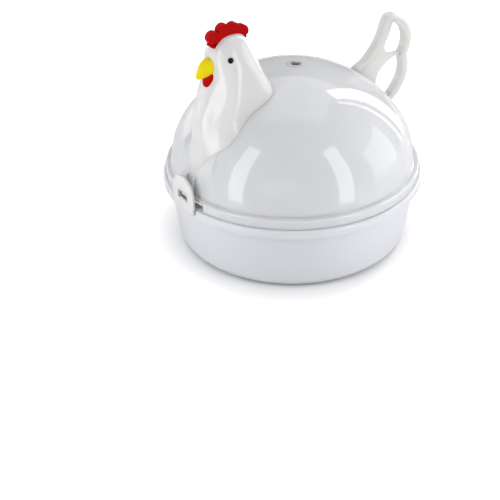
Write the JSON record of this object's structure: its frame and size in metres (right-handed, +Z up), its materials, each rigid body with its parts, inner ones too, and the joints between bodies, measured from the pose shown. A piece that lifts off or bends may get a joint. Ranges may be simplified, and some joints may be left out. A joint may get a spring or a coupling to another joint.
{
  "type": "microwave egg cooker",
  "caption": "Hen-shaped microwave egg cooker: round base with a metal pan and egg tray, domed lid with a hollow neck, a vent, a looped tail handle and press-on latch flaps.",
  "frame": {"origin": "centre of the flat foot, on the table", "axes": "+Z up, the hen looks along -Y and its tail handle points along +Y; +X is the hen's left side"},
  "size_m": [0.16, 0.1759, 0.1467],
  "materials": {
    "white_plastic": "glossy cool white moulding",
    "ivory_plastic": "satin warm white moulding",
    "aluminium": "spun and polished sheet",
    "screw_steel": "plain steel",
    "red_plastic": "glossy red moulding",
    "yellow_plastic": "glossy yellow moulding",
    "black_plastic": "glossy black bead"
  },
  "bodies": {
    "base": {"base_bowl": "white_plastic", "inner_pan": "aluminium", "egg_tray": "aluminium"},
    "front_flap": {"front_latch_flap": "white_plastic"},
    "rear_flap": {"rear_latch_flap": "white_plastic"},
    "lid": {"lid_dome": "white_plastic", "lid_liner": "aluminium", "vent_bush": "white_plastic", "neck_and_head": "ivory_plastic", "neck_screws": "screw_steel", "comb": "red_plastic", "beak": "yellow_plastic", "wattle": "red_plastic", "left_eye": "black_plastic", "right_eye": "black_plastic", "tail_handle": "ivory_plastic"}
  },
  "joints": [
    {"name": "front_flap_hinge", "type": "hinge", "parent": "base", "child": "front_flap", "pos_m": [0, -0.0796, 0.041], "axis": [1, 0, 0], "range_deg": [-9, 95]},
    {"name": "rear_flap_hinge", "type": "hinge", "parent": "base", "child": "rear_flap", "pos_m": [0, 0.0796, 0.041], "axis": [-1, 0, 0], "range_deg": [-9, 95]},
    {"name": "lid_lift", "type": "slide", "parent": "base", "child": "lid", "axis": [0, 0, 1], "range_m": [0, 0.12]}
  ]
}
